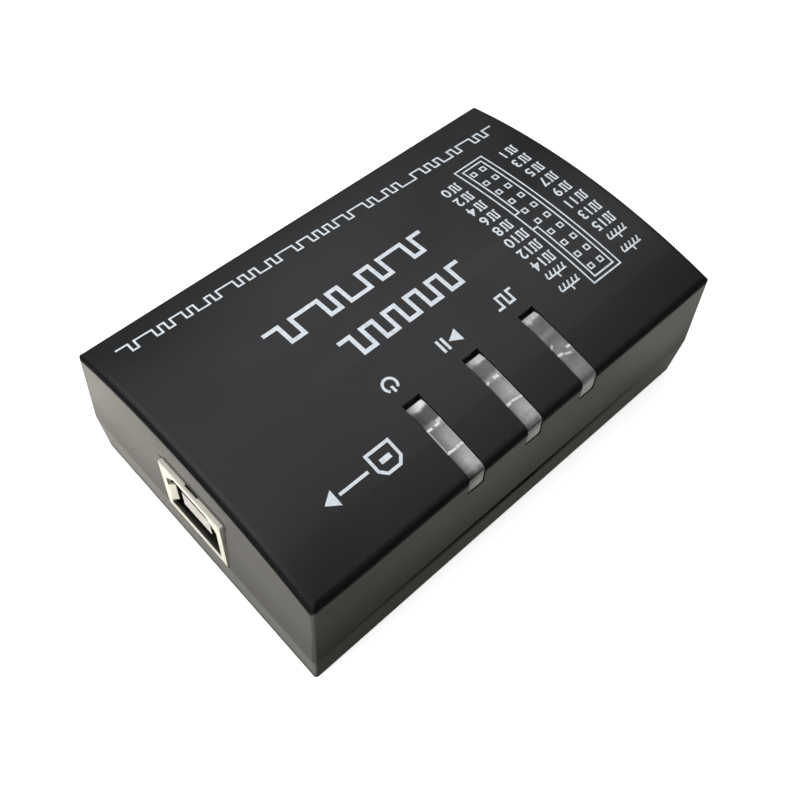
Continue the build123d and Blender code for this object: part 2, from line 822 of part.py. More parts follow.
# ---------------------------------------------------------------- every node of the assembly
nodes = {
    "upper_shell": make_upper_shell(),
    "lower_shell": make_lower_shell(),
    "case_screws": make_case_screws(),
    "main_board": make_board(),
    "usb_receptacle_shell": make_usb_shell(),
    "usb_receptacle_insulator": make_usb_insulator(),
    "usb_contacts": make_usb_contacts(),
    "header_shroud": make_header_shroud(),
    "header_pins": make_header_pins(),
}
for name, place in zip(pipe_names, pipe_places):
    nodes[f"light_pipe_{name}"] = make_light_pipe(place)
    nodes[f"led_{name}"] = make_led(place)
nodes.update(make_components())

os.makedirs("parts", exist_ok=True)
for name, shape in nodes.items():
    solids = shape if isinstance(shape, list) else [shape]
    export_step(Compound(children=[s for shape in solids for s in shape.solids()]), f"parts/{name}.step")
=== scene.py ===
"""Logic analyzer: finishes, printed markings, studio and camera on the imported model."""
import math

import bmesh
import bpy
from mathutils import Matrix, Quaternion, Vector
from mathutils.bvhtree import BVHTree


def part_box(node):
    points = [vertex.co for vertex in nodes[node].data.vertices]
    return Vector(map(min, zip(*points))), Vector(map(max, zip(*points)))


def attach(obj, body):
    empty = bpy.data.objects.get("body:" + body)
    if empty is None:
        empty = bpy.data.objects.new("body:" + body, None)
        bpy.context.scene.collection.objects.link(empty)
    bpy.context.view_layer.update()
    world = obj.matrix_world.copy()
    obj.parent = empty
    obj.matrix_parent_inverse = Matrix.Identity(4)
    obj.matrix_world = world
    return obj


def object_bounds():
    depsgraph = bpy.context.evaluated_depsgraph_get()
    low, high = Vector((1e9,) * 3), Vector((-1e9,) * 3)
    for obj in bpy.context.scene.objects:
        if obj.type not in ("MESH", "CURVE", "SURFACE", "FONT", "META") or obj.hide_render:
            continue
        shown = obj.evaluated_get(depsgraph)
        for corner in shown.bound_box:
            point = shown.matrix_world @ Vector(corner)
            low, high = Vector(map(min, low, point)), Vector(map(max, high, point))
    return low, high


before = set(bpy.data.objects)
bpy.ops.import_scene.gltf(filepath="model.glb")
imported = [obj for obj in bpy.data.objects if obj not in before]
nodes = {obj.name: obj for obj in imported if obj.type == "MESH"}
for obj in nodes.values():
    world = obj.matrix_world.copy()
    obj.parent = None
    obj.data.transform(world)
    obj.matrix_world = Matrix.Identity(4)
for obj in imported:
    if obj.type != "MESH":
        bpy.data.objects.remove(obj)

MM = 0.001
cad_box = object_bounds()
box_low, box_high = [Vector(corner) / MM for corner in cad_box]  # of the whole object, in millimetres


def node_box(node):
    """The low and high corner of a CAD node, in millimetres."""
    low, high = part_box(node)
    return low / MM, high / MM


# ---------------------------------------------------------------- shader helpers
def put(tree, kind, inputs=None, **settings):
    """A shader node with its settings, and each input either set or linked."""
    node = tree.nodes.new(kind)
    for name, value in settings.items():
        setattr(node, name, value)
    for name, value in (inputs or {}).items():
        if isinstance(value, bpy.types.NodeSocket):
            tree.links.new(value, node.inputs[name])
        else:
            node.inputs[name].default_value = value
    return node


def math_node(tree, operation, *values, clamp=False):
    """One step of arithmetic on sockets or numbers."""
    inputs = dict(enumerate(values))
    return put(tree, "ShaderNodeMath", inputs, operation=operation, use_clamp=clamp).outputs[0]


def map_range(tree, value, low, high, start=0.0, end=1.0, **settings):
    """A value that goes from start to end as another goes from low to high."""
    inputs = {0: value, 1: low, 2: high, 3: start, 4: end}
    return put(tree, "ShaderNodeMapRange", inputs, **settings).outputs[0]


class Pattern:
    """A material whose patterns are laid out in millimetres of the object."""

    def __init__(self, name):
        self.material = bpy.data.materials.new(name)
        self.material.use_nodes = True
        self.tree = self.material.node_tree
        self.tree.nodes.clear()
        self.output = put(self.tree, "ShaderNodeOutputMaterial")
        place = put(self.tree, "ShaderNodeTexCoord").outputs["Object"]
        scale = put(self.tree, "ShaderNodeVectorMath", {0: place, "Scale": 1 / MM}, operation="SCALE")
        self.place = scale.outputs[0]

    def calc(self, operation, *values, clamp=False):
        return math_node(self.tree, operation, *values, clamp=clamp)

    def fade(self, value, low, high, start=0.0, end=1.0, **settings):
        return map_range(self.tree, value, low, high, start, end, **settings)

    def axis(self, letter):
        split = put(self.tree, "ShaderNodeSeparateXYZ", {0: self.place})
        return split.outputs[letter]

    def noise(self, size, detail=2.0, roughness=0.5, stretch=None):
        """Noise whose cells are about size millimetres across."""
        where = self.place
        if stretch:
            where = put(self.tree, "ShaderNodeMapping", {"Vector": where, "Scale": stretch}).outputs[0]
        inputs = {"Vector": where, "Scale": 1 / size, "Detail": detail, "Roughness": roughness}
        return put(self.tree, "ShaderNodeTexNoise", inputs).outputs["Fac"]

    def ramp(self, factor, *stops):
        """Colours or greys along a factor, as (position, colour) pairs."""
        node = put(self.tree, "ShaderNodeValToRGB", {"Fac": factor})
        ramp = node.color_ramp
        while len(ramp.elements) < len(stops):
            ramp.elements.new(1.0)
        for element, (position, colour) in zip(ramp.elements, stops):
            element.position = position
            element.color = (*colour, 1.0) if isinstance(colour, tuple) else (colour, colour, colour, 1.0)
        return node.outputs["Color"]

    def greys(self, value, stops):
        """Greys along a value, as (value, grey) pairs."""
        first, last = stops[0][0], stops[-1][0]
        places = [((place - first) / (last - first), grey) for place, grey in stops]
        return self.ramp(self.fade(value, first, last), *places)

    def mix(self, factor, a, b):
        node = put(self.tree, "ShaderNodeMix", data_type="RGBA")
        for index, value in ((0, factor), (6, a), (7, b)):
            if isinstance(value, bpy.types.NodeSocket):
                self.tree.links.new(value, node.inputs[index])
            else:
                node.inputs[index].default_value = (*value, 1.0) if isinstance(value, tuple) else value
        return node.outputs[2]

    def between(self, letter, low, high, soft=0.02):
        """One where a coordinate lies between two millimetre values, fading to zero over soft."""
        value = self.axis(letter)
        rise = self.fade(value, low - soft, low + soft)
        fall = self.fade(value, high - soft, high + soft, 1.0, 0.0)
        return self.calc("MULTIPLY", rise, fall)

    def inside(self, low, high, soft=0.02):
        """One inside a box given in millimetres, where None leaves an axis open."""
        result = 1.0
        for letter, a, b in zip("XYZ", low, high):
            if a is not None:
                result = self.calc("MULTIPLY", result, self.between(letter, a, b, soft))
        return result


class Finish(Pattern):
    """A procedural Principled material."""

    def __init__(self, name, **constants):
        super().__init__(name)
        self.shader = put(self.tree, "ShaderNodeBsdfPrincipled")
        self.tree.links.new(self.shader.outputs[0], self.output.inputs["Surface"])
        for socket, value in constants.items():
            self.shader.inputs[socket.replace("_", " ")].default_value = value

    def link(self, socket, value):
        self.tree.links.new(value, self.shader.inputs[socket])

    def gloss(self, pattern, roughness, spread):
        """Roughness that varies by spread about its middle value along a pattern."""
        self.link("Roughness", self.calc("MULTIPLY_ADD", pattern, spread, roughness - spread / 2))

    def bump(self, height, strength, distance):
        inputs = {"Height": height, "Strength": strength, "Distance": distance * MM}
        self.link("Normal", put(self.tree, "ShaderNodeBump", inputs).outputs[0])


def wear(piece, material):
    """Gives a piece, or every slot of a CAD node, its material."""
    slots = piece.data.materials
    if not slots:
        slots.append(material)
    for index in range(len(slots)):
        slots[index] = material


# ---------------------------------------------------------------- case
ROOF_RADIUS = 96.85  # of the arched roof, in millimetres
SOFT_EDGE_SIDE, SOFT_EDGE_END = 1.65, 0.9  # how far below the roof the walls begin to turn in
SOFT_EDGE_CURVE = 0.2  # depth of the turn for each square millimetre of that reach
SOFT_EDGE_BLEND = 9.0  # from a corner to where its wall has a reach of its own
SEAM = 8.0  # height of the plane where the shells meet, in millimetres
SEAM_SHADE_BELOW, SEAM_SHADE_ABOVE, SEAM_SHADE_FADE = 1.65, 1.2, 0.7
SEAM_SHADE_BLEND = 0.5  # from a corner to where the shade stops or starts
# depth of the seam's painted shade along a long side, by the share of its length from the socket end
SEAM_SHADE = ((0.03, 0.37), (0.11, 0.49), (0.22, 0.75), (0.33, 0.95), (0.52, 1.0), (0.66, 0.9), (0.74, 0.75),
              (0.79, 0.55), (0.85, 0.25), (0.93, 0.12), (1.0, 0.0))
SPECULAR_LEVEL = 0.5  # of a plastic out of the seam's painted shade


def moulded_plastic(name, dark, light, roughness, grain_size=0.22, grain=0.35, distance=0.03, ior=1.5):
    """Spark-eroded black moulding: fine grain, faint cloudy variation and uneven gloss."""
    finish = Finish(name, IOR=ior)
    cloud = finish.noise(9.0, 3.0)
    speck = finish.noise(grain_size, 3.0, 0.6)
    share = finish.calc("ADD", finish.calc("MULTIPLY", cloud, 0.6), finish.calc("MULTIPLY", speck, 0.4))
    finish.colour = finish.ramp(share, (0.3, dark), (0.7, light))
    finish.link("Base Color", finish.colour)
    finish.gloss(cloud, roughness, 0.10)
    finish.bump(speck, grain, distance)
    return finish


def near_end(finish, blend):
    """One on the end walls and zero on the long sides, changing over within blend of the corners."""
    past_end = finish.calc("SUBTRACT", finish.calc("ABSOLUTE", finish.axis("X")), box_high.x)
    past_side = finish.calc("SUBTRACT", finish.calc("ABSOLUTE", finish.axis("Y")), box_high.y)
    more = finish.calc("SUBTRACT", past_end, past_side)
    return finish.fade(more, -blend, blend, interpolation_type="SMOOTHSTEP")


def soften_roof_edge(finish):
    """Lets the wall begin to turn a little below the rounded roof edge, as a worn or sinking edge does."""
    y = finish.axis("Y")
    fall = finish.calc("MULTIPLY", finish.calc("MULTIPLY", y, y), 0.5 / ROOF_RADIUS)
    depth = finish.calc("SUBTRACT", box_high.z, finish.calc("ADD", fall, finish.axis("Z")))
    shorter = SOFT_EDGE_END - SOFT_EDGE_SIDE
    reach = finish.calc("MULTIPLY_ADD", near_end(finish, SOFT_EDGE_BLEND), shorter, SOFT_EDGE_SIDE)
    near = finish.calc("MAXIMUM", finish.calc("SUBTRACT", reach, depth), 0.0)
    height = finish.calc("MULTIPLY", finish.calc("MULTIPLY", near, near), -SOFT_EDGE_CURVE)
    turned_in = put(finish.tree, "ShaderNodeBump", {"Height": height, "Strength": 1.0, "Distance": MM})
    grain = finish.shader.inputs["Normal"].links[0].from_node
    finish.tree.links.new(turned_in.outputs[0], grain.inputs["Normal"])


def shade_seam(finish):
    """Painted shade: the long sides' rim is darkened to near black and its reflection taken away, where the
    shell above shades it, most near the middle.
    """
    along = finish.fade(finish.axis("X"), box_low.x, box_high.x)
    side = finish.calc("SUBTRACT", 1.0, near_end(finish, SEAM_SHADE_BLEND))
    rim = finish.between("Z", SEAM - SEAM_SHADE_BELOW, SEAM + SEAM_SHADE_ABOVE, SEAM_SHADE_FADE)
    shade = finish.calc("MULTIPLY", finish.calc("MULTIPLY", rim, side), finish.ramp(along, *SEAM_SHADE))
    finish.link("Base Color", finish.mix(shade, finish.colour, (0.001, 0.001, 0.001)))
    finish.link("Specular IOR Level", finish.calc("MULTIPLY_ADD", shade, -SPECULAR_LEVEL, SPECULAR_LEVEL))


upper_plastic = moulded_plastic("case_plastic_upper", (0.004, 0.004, 0.0045), (0.0065, 0.0065, 0.0072), 0.40)
soften_roof_edge(upper_plastic)
lower_plastic = moulded_plastic("case_plastic_lower", (0.019, 0.019, 0.0185), (0.031, 0.031, 0.0293), 0.46,
                                grain_size=0.16, grain=0.5, distance=0.04, ior=1.68)
shade_seam(lower_plastic)


# ---------------------------------------------------------------- metal and connector bodies
SOCKET_SHADE_DEPTH = 0.72  # depth inside the socket where the painted shade on its metal begins
SOCKET_SHADED_SILL = 0.7  # height of the strip of painted shade along the socket's floor
SOCKET_MARGIN = 0.1  # by which the painted shade passes the moulding in the socket
TONGUE_FRONT = 1.0  # depth of the tongue's front that is painted pale, as lit


def plated(name, colour, roughness, brushed, tarnish=0.8, metallic=1.0):
    """Plated metal with a drawn or soft mottled surface."""
    finish = Finish(name, Metallic=metallic)
    streak = finish.noise(0.5, 4.0, 0.6, brushed)
    patch = finish.noise(2.6, 3.0)
    darkened = tuple(c * tarnish for c in colour)
    finish.colour = finish.ramp(patch, (0.35, darkened), (0.65, colour))
    finish.link("Base Color", finish.colour)
    finish.gloss(streak, roughness, 0.22)
    finish.bump(streak, 0.25, 0.01)
    return finish


def socket_nickel():
    """Cream nickel plate, bright on the face and on the lips' leaning part, with painted shade inside the
    socket and along its floor.
    """
    finish = plated("nickel_plate", (0.80, 0.775, 0.675), 0.36, (0.25, 1.0, 1.0), tarnish=0.93, metallic=0.45)
    front = node_box("usb_receptacle_shell")[0].x
    low, high = node_box("usb_receptacle_insulator")
    near_y, far_y = low.y - SOCKET_MARGIN, high.y + SOCKET_MARGIN
    bottom, top = low.z - SOCKET_MARGIN, high.z + SOCKET_MARGIN
    # painted shade: the plate inside the socket, and a strip along its floor, is darkened to a dark grey
    shaded_room = finish.inside((front + SOCKET_SHADE_DEPTH, near_y, bottom), (high.x, far_y, top), 0.08)
    shaded_sill = finish.inside((front + SOCKET_MARGIN, near_y, bottom), (high.x, far_y, low.z + SOCKET_SHADED_SILL), 0.03)
    darkened = finish.calc("MAXIMUM", shaded_room, shaded_sill)
    finish.link("Base Color", finish.mix(darkened, finish.colour, (0.05, 0.046, 0.04)))
    return finish


def plain_moulding(name, dark, light, roughness):
    """An ungrained moulding, such as a connector body, with a little flow marking."""
    finish = Finish(name)
    flow = finish.noise(1.6, 4.0, 0.55, (1.0, 0.45, 0.45))
    finish.link("Base Color", finish.ramp(flow, (0.3, dark), (0.7, light)))
    finish.gloss(flow, roughness, 0.16)
    finish.bump(finish.noise(0.3), 0.2, 0.01)
    return finish


def socket_moulding():
    """Black moulding with painted light on its tongue: the front face is pale where light falls on it."""
    finish = plain_moulding("socket_plastic", (0.008, 0.008, 0.009), (0.016, 0.015, 0.016), 0.5)
    front = node_box("usb_receptacle_insulator")[0].x
    # painted light: the tongue's front is pale and the rest of the moulding stays black
    pale = finish.between("X", front - TONGUE_FRONT, front + 0.06, 0.03)
    lit_front_tone = finish.ramp(finish.noise(0.5, 3.0), (0.3, (0.40, 0.365, 0.345)), (0.7, (0.56, 0.52, 0.50)))
    finish.link("Base Color", finish.mix(pale, (0.012, 0.011, 0.011), lit_front_tone))
    return finish


nickel = socket_nickel()
gold = plated("gold_plate", (0.86, 0.62, 0.27), 0.28, (0.3, 1.0, 1.0))
black_oxide = plated("screw_steel", (0.055, 0.055, 0.058), 0.42, (1.0, 1.0, 0.3))
can_steel = plated("can_steel", (0.68, 0.68, 0.68), 0.30, (0.3, 1.0, 1.0))
socket_plastic = socket_moulding()
header_plastic = plain_moulding("header_plastic", (0.010, 0.010, 0.010), (0.020, 0.020, 0.020), 0.45)


# ---------------------------------------------------------------- light pipes
# A pipe's run is its y on the roof and goes on down the wall below the bend, in millimetres.
PIPE_BEND = 22.2  # height of the bend
GLINT_FADE = 0.12  # from a painted glint's edge to none

# for each pipe: the grey that painted shade leaves on its near side, the painted greys of its foot, bend,
# face, shaded stretch and end, and its painted glints as (place along the run, half width, slant, from, to
# across, strength)
PIPES = {
    "light_pipe_power": (0.3, (0.55, 0.10, 0.50, 0.07, 0.80), (
        (-15.05, 0.10, 0.06, -1.4, -0.45, 1.0), (-15.0, 0.10, 0.0, 0.0, 0.75, 1.0),
        (-14.85, 0.12, -0.2, 0.5, 1.4, 0.6), (-18.6, 0.10, 0.05, -1.4, 0.15, 1.0),
        (-18.55, 0.10, 0.0, 0.2, 1.4, 0.85), (-16.85, 1.7, 0.0, -1.4, -1.12, 0.75))),
    "light_pipe_run": (0.55, (0.65, 0.15, 0.48, 0.12, 0.60), (
        (-14.75, 0.14, -0.25, -1.4, -0.75, 0.7), (-14.85, 0.16, 0.1, 0.05, 0.9, 0.75),
        (-18.55, 0.12, 0.0, -1.4, -0.5, 0.85), (-18.5, 0.10, 0.15, -0.4, 1.4, 0.7))),
    "light_pipe_status": (0.95, (0.60, 0.35, 0.26, 0.13, 0.62), (
        (-15.8, 0.1, -0.7, -1.4, -0.7, 0.6), (-17.95, 0.12, 0.1, -1.4, -0.4, 0.8),
        (-18.2, 0.10, 0.35, -0.3, 0.7, 0.7), (-17.5, 0.12, 0.1, 0.6, 1.4, 0.8))),
}


def pipe_greys(foot, bend, face, shade, end):
    """Painted light and shade along a pipe's run: foot, bend darkened as a painted reflection, face with its
    inner steps, shaded stretch, and the end painted lighter as its bevel catches the light.
    """
    return ((-26.2, foot), (-24.7, 0.85 * foot), (-23.5, 1.15 * bend), (-22.6, bend), (-22.1, 0.6 * face),
            (-21.6, 0.95 * face), (-20.4, 1.05 * face), (-18.9, 0.8 * face), (-18.2, 0.95 * face),
            (-16.9, 0.9 * face), (-15.6, 0.5 * face), (-14.7, 0.85 * face), (-14.1, shade), (-12.6, shade),
            (-12.35, 0.3 * end), (-12.05, end), (-11.2, end))


def light_pipe_finish(node, near_side_shade_level, greys, glints):
    """Clear moulding with painted light and shade: greys along its run stand in for its inner steps showing
    through, painted shade dims its near side, and painted glints are bright lines at the steps.
    """
    low, high = node_box(node)
    middle = (low.x + high.x) / 2
    finish = Finish(node, IOR=1.49, Transmission_Weight=0.12)
    cloud = finish.noise(1.5, 3.0, 0.6)
    fine = finish.noise(0.35)
    across = finish.calc("SUBTRACT", finish.axis("X"), middle)
    drop = finish.calc("MINIMUM", finish.calc("SUBTRACT", finish.axis("Z"), PIPE_BEND), 0.0)
    run = finish.calc("ADD", finish.axis("Y"), drop)
    wander = finish.calc("MULTIPLY", finish.calc("SUBTRACT", cloud, 0.5), 1.2)
    painted_tone = finish.greys(finish.calc("ADD", run, wander), pipe_greys(*greys))
    side = finish.fade(across, -1.3, 0.4, near_side_shade_level, 1.0)
    mottle = finish.ramp(cloud, (0.3, 0.78), (0.7, 1.2))
    painted_tone = finish.calc("MULTIPLY", painted_tone, finish.calc("MULTIPLY", side, mottle))
    ripple = finish.calc("MULTIPLY", finish.calc("SUBTRACT", fine, 0.5), 0.25)
    # painted glints: bright lines mixed toward white at the inner steps
    bright = 0.0
    for centre, half, slant, left, right, strength in glints:
        skewed = finish.calc("ADD", run, finish.calc("MULTIPLY", across, slant))
        away = finish.calc("SUBTRACT", finish.calc("ADD", skewed, ripple), centre)
        line = finish.fade(finish.calc("ABSOLUTE", away), half, half + GLINT_FADE, strength, 0.0)
        length = finish.between("X", middle + left, middle + right, GLINT_FADE)
        bright = finish.calc("MAXIMUM", bright, finish.calc("MULTIPLY", line, length))
    finish.link("Base Color", finish.mix(bright, painted_tone, (1.0, 1.0, 1.0)))
    finish.gloss(cloud, 0.225, 0.25)
    finish.bump(finish.calc("ADD", cloud, finish.calc("MULTIPLY", fine, 0.3)), 0.3, 0.1)
    return finish


# ---------------------------------------------------------------- board and components
EPOXY_DARK, EPOXY_LIGHT = (0.0084, 0.0084, 0.0091), (0.0168, 0.0168, 0.0182)
TIN = (0.62, 0.62, 0.63)
LED_BASE = 0.32  # height of an LED's white base


def solder_mask_finish():
    """Green board with copper tracks raised under the mask and the glass weave at its edges."""
    finish = Finish("solder_mask", IOR=1.5, Coat_Weight=0.4, Coat_Roughness=0.15)
    cells = put(finish.tree, "ShaderNodeTexVoronoi", {"Vector": finish.place, "Scale": 0.35},
                distance="MANHATTAN", feature="DISTANCE_TO_EDGE")
    track = finish.calc("GREATER_THAN", cells.outputs["Distance"], 0.09)
    weave = finish.noise(0.5, 2.0, 0.5, (1.0, 0.2, 1.0))
    green = finish.mix(track, (0.004, 0.045, 0.016), (0.010, 0.095, 0.032))
    glass = finish.calc("MULTIPLY", weave, 0.3)
    finish.link("Base Color", finish.mix(glass, green, (0.02, 0.13, 0.05)))
    finish.link("Roughness", finish.ramp(weave, (0.3, 0.30), (0.7, 0.42)))
    finish.bump(track, 0.4, 0.03)
    return finish


def chip_finish(node, name, reach):
    """Moulded epoxy, and tinned leads that stand out from it by their reach along each axis."""
    low, high = node_box(node)
    finish = Finish(name, IOR=1.5)
    body_low = [low[axis] + reach[axis] if axis in reach else None for axis in range(3)]
    body_high = [high[axis] - reach[axis] if axis in reach else None for axis in range(3)]
    body = finish.inside(body_low, body_high)
    grain = finish.noise(0.12, 3.0, 0.6)
    epoxy = finish.ramp(grain, (0.3, EPOXY_DARK), (0.7, EPOXY_LIGHT))
    tin = finish.ramp(grain, (0.3, (0.55, 0.55, 0.56)), (0.7, (0.72, 0.72, 0.73)))
    finish.link("Base Color", finish.mix(body, tin, epoxy))
    finish.link("Metallic", finish.calc("SUBTRACT", 1.0, body))
    finish.link("Roughness", finish.ramp(body, (0.0, 0.32), (1.0, 0.62)))
    finish.bump(grain, 0.3, 0.02)
    return finish


def solid_boxes(node):
    """The box of each separate solid of a node, in millimetres."""
    mesh = nodes[node].data
    parent = list(range(len(mesh.vertices)))

    def root(i):
        while parent[i] != i:
            parent[i] = parent[parent[i]]
            i = parent[i]
        return i

    seen = {}
    for vertex in mesh.vertices:
        key = tuple(round(c, 7) for c in vertex.co)
        if key in seen:
            parent[root(vertex.index)] = root(seen[key])
        seen[key] = vertex.index
    for edge in mesh.edges:
        parent[root(edge.vertices[0])] = root(edge.vertices[1])
    groups = {}
    for vertex in mesh.vertices:
        groups.setdefault(root(vertex.index), []).append(vertex.co / MM)
    boxes = []
    for points in groups.values():
        low = [min(p[i] for p in points) for i in range(3)]
        high = [max(p[i] for p in points) for i in range(3)]
        boxes.append((low, high))
    return sorted(boxes)


def end_caps(finish, node, along, reach):
    """One near both ends of each separate solid of a node, along an axis or, with None, its longer one."""
    total = 0.0
    for low, high in solid_boxes(node):
        axis = along
        if axis is None:
            axis = 0 if high[0] - low[0] > high[1] - low[1] else 1
        whole = finish.inside([v - 0.05 for v in low], [v + 0.05 for v in high])
        core_low = [v + reach if i == axis else v - 0.06 for i, v in enumerate(low)]
        core_high = [v - reach if i == axis else v + 0.06 for i, v in enumerate(high)]
        end = finish.calc("SUBTRACT", whole, finish.inside(core_low, core_high), clamp=True)
        total = finish.calc("ADD", total, end, clamp=True)
    return total


def capped_finish(node, name, colour, roughness, along, reach):
    """One finish for several small parts: body colour, and tin within reach of their ends."""
    finish = Finish(name, IOR=1.5)
    grain = finish.noise(0.2, 3.0, 0.6)
    light = tuple(min(1.0, c * 1.35) for c in colour)
    body = finish.ramp(grain, (0.3, colour), (0.7, light))
    caps = end_caps(finish, node, along, reach)
    finish.link("Base Color", finish.mix(caps, body, TIN))
    finish.link("Metallic", caps)
    finish.link("Roughness", finish.ramp(caps, (0.0, roughness), (1.0, 0.35)))
    finish.bump(grain, 0.25, 0.015)
    return finish


def led_finish():
    """A white chip LED with its clear block, for all three, which sit at one height."""
    finish = Finish("led_white", IOR=1.5, Coat_Weight=0.5)
    low, high = node_box("led_power")
    clear = finish.between("Z", low.z + LED_BASE, high.z + 1.0)
    fine = finish.noise(0.2)
    base = finish.ramp(fine, (0.3, (0.66, 0.66, 0.62)), (0.7, (0.80, 0.80, 0.76)))
    lens = finish.ramp(fine, (0.3, (0.80, 0.74, 0.42)), (0.7, (0.88, 0.84, 0.56)))
    finish.link("Base Color", finish.mix(clear, base, lens))
    finish.link("Roughness", finish.ramp(clear, (0.0, 0.5), (1.0, 0.2)))
    finish.bump(fine, 0.1, 0.01)
    return finish


led = led_finish()
finishes = {
    "upper_shell": upper_plastic,
    "lower_shell": lower_plastic,
    "case_screws": black_oxide,
    "main_board": solder_mask_finish(),
    "usb_receptacle_shell": nickel,
    "usb_receptacle_insulator": socket_plastic,
    "usb_contacts": gold,
    "header_shroud": header_plastic,
    "header_pins": gold,
    "crystal": can_steel,
    "led_power": led,
    "led_run": led,
    "led_status": led,
}
for node, name, reach in (
    ("usb_controller_chip", "controller_epoxy", {0: 1.0}),
    ("logic_chip", "logic_epoxy", {0: 1.0, 1: 1.0}),
    ("configuration_memory", "memory_epoxy", {1: 1.0}),
    ("voltage_regulator", "regulator_epoxy", {1: 1.55}),
):
    finishes[node] = chip_finish(node, name, reach)
for node, name, colour, roughness, along, reach in (
    ("resettable_fuse", "fuse_green", (0.02, 0.16, 0.06), 0.5, 1, 0.5),
    ("bulk_capacitors", "tantalum_yellow", (0.62, 0.40, 0.07), 0.45, 0, 0.12),
    ("input_resistor_networks", "resistor_black", (0.015, 0.015, 0.016), 0.5, 0, 0.28),
    ("input_protection_arrays", "array_epoxy", (0.013, 0.013, 0.014), 0.6, 1, 1.0),
    ("ceramic_capacitors", "ceramic_tan", (0.34, 0.22, 0.12), 0.5, None, 0.35),
):
    finishes[node] = capped_finish(node, name, colour, roughness, along, reach)
for node, look in PIPES.items():
    finishes[node] = light_pipe_finish(node, *look)
for node, finish in finishes.items():
    wear(nodes[node], finish.material)


# ---------------------------------------------------------------- printed markings
# Outlines are lists of polygons in the roof's plan, in millimetres. x runs from the socket end to the header
# end, and y from the light pipes to the far side.
INK_RISE = 0.02  # above the roof
INK_STEP = 0.5  # between the cuts that let the ink follow the arch
INK_DROP = 5.0  # above the roof's top, from where each point is dropped on it
FONT_HEIGHT = 0.7  # of a digit in the built-in font, as a share of the font's size

shell = nodes["upper_shell"]
shell_tree = BVHTree.FromPolygons([v.co.copy() for v in shell.data.vertices],
                                  [list(p.vertices) for p in shell.data.polygons])


def ink_finish():
    """White pad-printed ink, a little uneven in cover and slightly blue."""
    finish = Finish("print_ink", IOR=1.45)
    cover = finish.noise(0.6, 4.0, 0.6)
    fine = finish.noise(0.12)
    finish.link("Base Color", finish.ramp(cover, (0.25, (0.60, 0.66, 0.71)), (0.6, (0.79, 0.85, 0.90))))
    finish.link("Roughness", finish.ramp(fine, (0.3, 0.45), (0.7, 0.62)))
    finish.bump(fine, 0.2, 0.01)
    return finish


ink = ink_finish()


def printed(name, polygons):
    """Lays flat outlines on the arched roof as one thin piece of ink."""
    work = bmesh.new()
    for polygon in polygons:
        work.faces.new([work.verts.new((x * MM, y * MM, 0.0)) for x, y in polygon])
    rows = [v.co.y / (INK_STEP * MM) for v in work.verts]
    for row in range(math.floor(min(rows)) + 1, math.ceil(max(rows))):
        bmesh.ops.bisect_plane(work, geom=work.verts[:] + work.edges[:] + work.faces[:],
                               plane_co=(0, row * INK_STEP * MM, 0), plane_no=(0, 1, 0), dist=1e-7)
    for vertex in work.verts:
        start = Vector((vertex.co.x, vertex.co.y, (box_high.z + INK_DROP) * MM))
        roof = shell_tree.ray_cast(start, Vector((0, 0, -1)))[0]
        vertex.co.z = roof.z + INK_RISE * MM
    work.normal_update()
    for face in work.faces:
        if face.normal.z < 0:
            face.normal_flip()
        face.smooth = True
    mesh = bpy.data.meshes.new(name)
    work.to_mesh(mesh)
    work.free()
    piece = bpy.data.objects.new(name, mesh)
    bpy.context.scene.collection.objects.link(piece)
    wear(piece, ink.material)
    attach(piece, "root")


def ribbon(points, width, closed=False):
    """A line of even width as quads with mitred corners."""
    count = len(points)
    sides = []
    for i, (x, y) in enumerate(points):
        before = points[i - 1] if closed or i else None
        after = points[(i + 1) % count] if closed or i < count - 1 else None
        directions = []
        for a, b in ((before, (x, y)), ((x, y), after)):
            if a is not None and b is not None:
                length = math.dist(a, b)
                directions.append(((b[0] - a[0]) / length, (b[1] - a[1]) / length))
        nx = -sum(d[1] for d in directions) / len(directions)
        ny = sum(d[0] for d in directions) / len(directions)
        scale = width / 2 / (nx * nx + ny * ny)
        sides.append(((x + nx * scale, y + ny * scale), (x - nx * scale, y - ny * scale)))
    quads = []
    for i in range(count if closed else count - 1):
        a, b = sides[i], sides[(i + 1) % count]
        quads.append([a[0], a[1], b[1], b[0]])
    return quads


def rectangle(x0, y0, x1, y1):
    return [(x0, y0), (x1, y0), (x1, y1), (x0, y1)]


def arc(x, y, radius, start, end):
    """Points on a circle between two angles in degrees."""
    steps = 28
    angles = [math.radians(start + (end - start) * i / steps) for i in range(steps + 1)]
    return [(x + radius * math.cos(a), y + radius * math.sin(a)) for a in angles]


def square_wave(start, end, height, weight, widths):
    """A square wave between two points, whose levels last in turn for the given widths, scaled to fit."""
    length = math.dist(start, end)
    ux, uy = (end[0] - start[0]) / length, (end[1] - start[1]) / length
    along, level = 0.0, -height / 2
    points = []
    for width in widths:
        reach = along + length * width / sum(widths)
        points += [(along, level), (reach, level)]
        along, level = reach, -level
    return ribbon([(start[0] + ux * a - uy * b, start[1] + uy * a + ux * b) for a, b in points], weight)


def turned(polygons, x, y):
    """Outlines drawn upright about a point, laid on the roof so that they read from the far side."""
    return [[(x - u, y - v) for u, v in polygon] for polygon in polygons]


